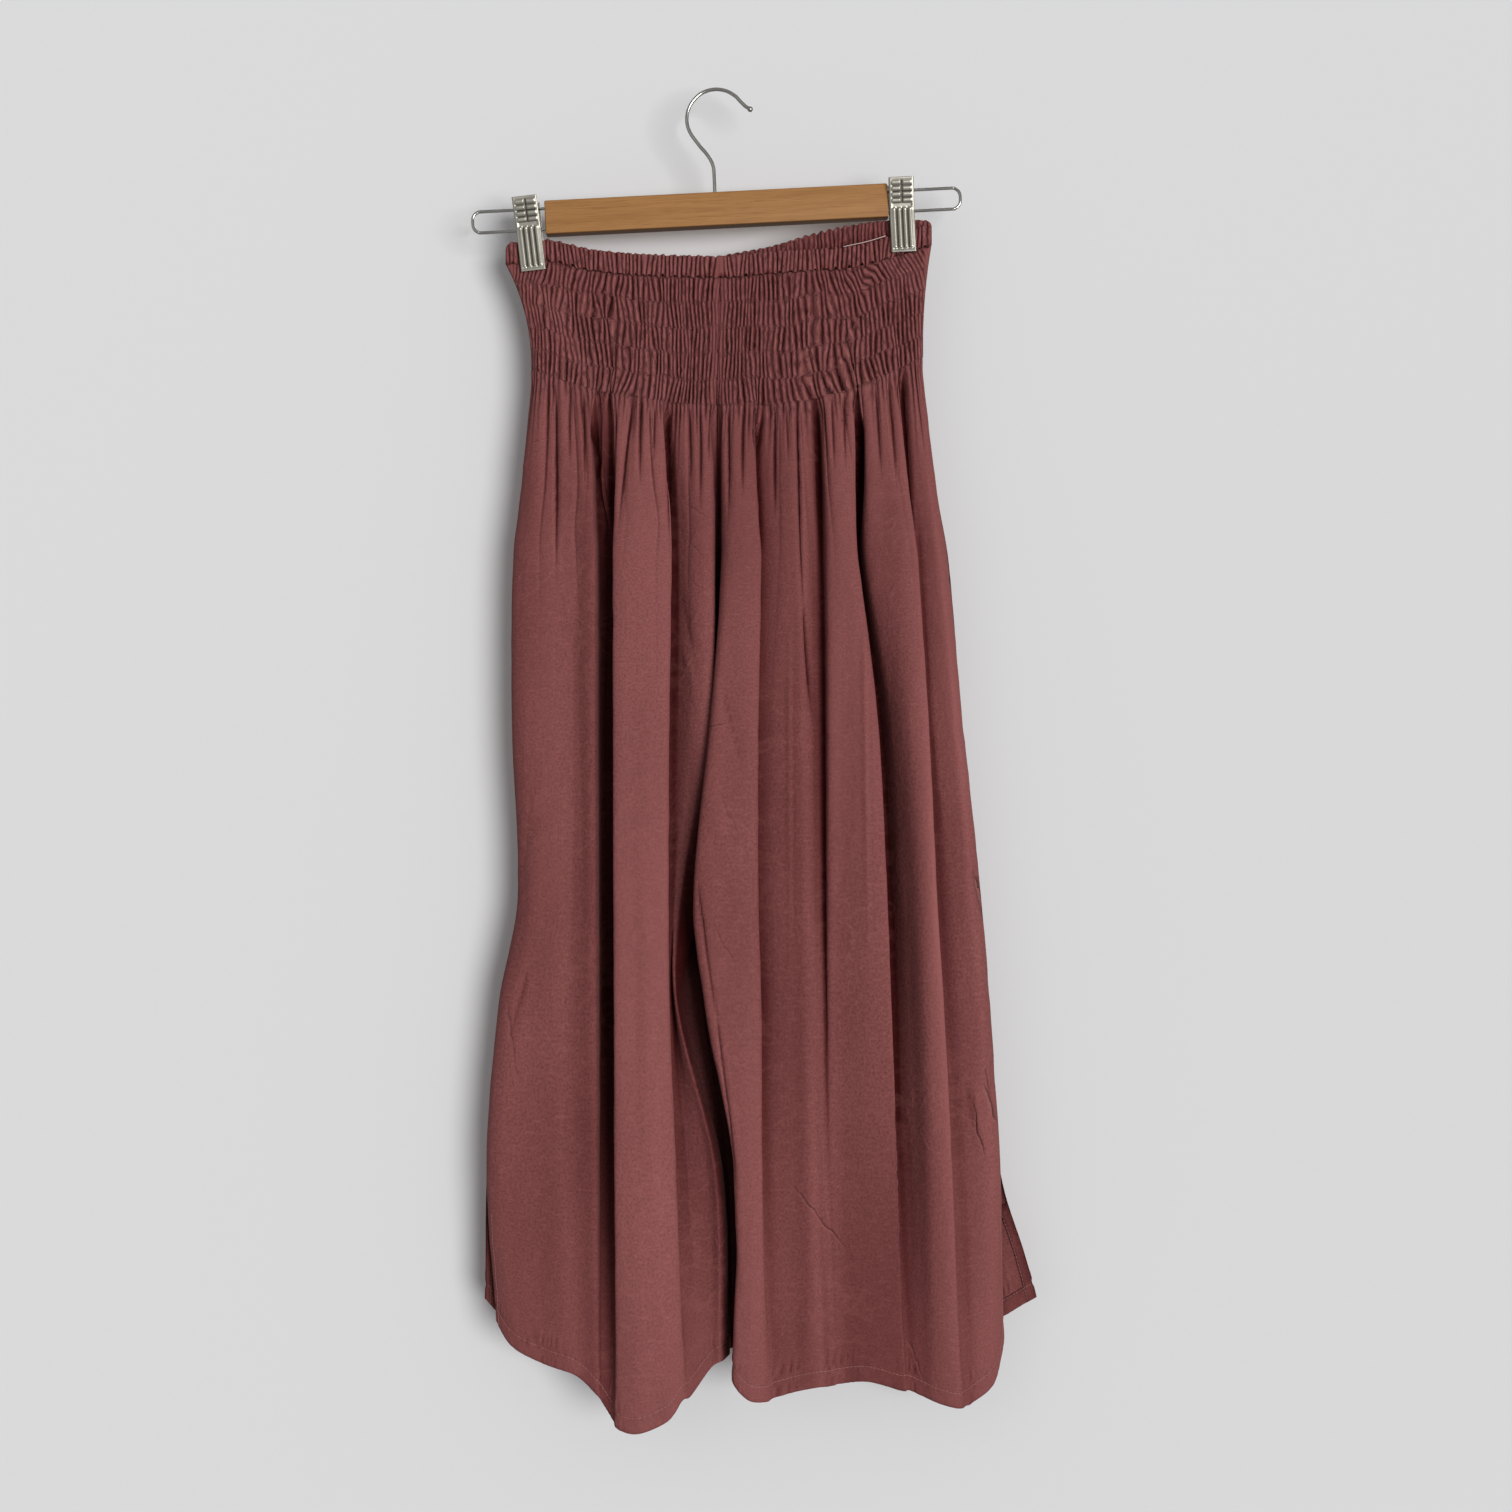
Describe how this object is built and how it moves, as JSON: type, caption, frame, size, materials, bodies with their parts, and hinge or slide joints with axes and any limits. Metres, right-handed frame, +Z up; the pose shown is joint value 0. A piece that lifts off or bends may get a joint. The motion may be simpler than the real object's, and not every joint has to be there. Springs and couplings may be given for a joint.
{
  "type": "harem pants on a clip hanger",
  "caption": "Wide cropped harem pants with a deep shirred elastic waist and side slits, hung by two metal clips from a wooden bar hanger.",
  "frame": {"origin": "underside of the hook's crest, where a rail or a screw carries the hanger", "axes": "+Z up, the garment's front faces -Y, +X to the right as seen from the front"},
  "size_m": [0.4543, 0.0793, 1.064],
  "materials": {
    "rayon": "dusty rose-brown plain-weave rayon, soft, with a low sheen",
    "wood": "clear-varnished beech with a fine lengthwise grain",
    "chrome": "bright nickel-chrome plate"
  },
  "bodies": {
    "root": {"front_left": "rayon", "front_right": "rayon", "back_left": "rayon", "back_right": "rayon", "casing_front": "rayon", "casing_back": "rayon", "hook": "chrome", "bar": "wood", "loop_left": "chrome", "loop_right": "chrome", "clip_left_front_jaw": "chrome", "clip_left_back_jaw": "chrome", "clip_left_spring": "chrome", "clip_right_front_jaw": "chrome", "clip_right_back_jaw": "chrome", "clip_right_spring": "chrome"}
  },
  "joints": []
}
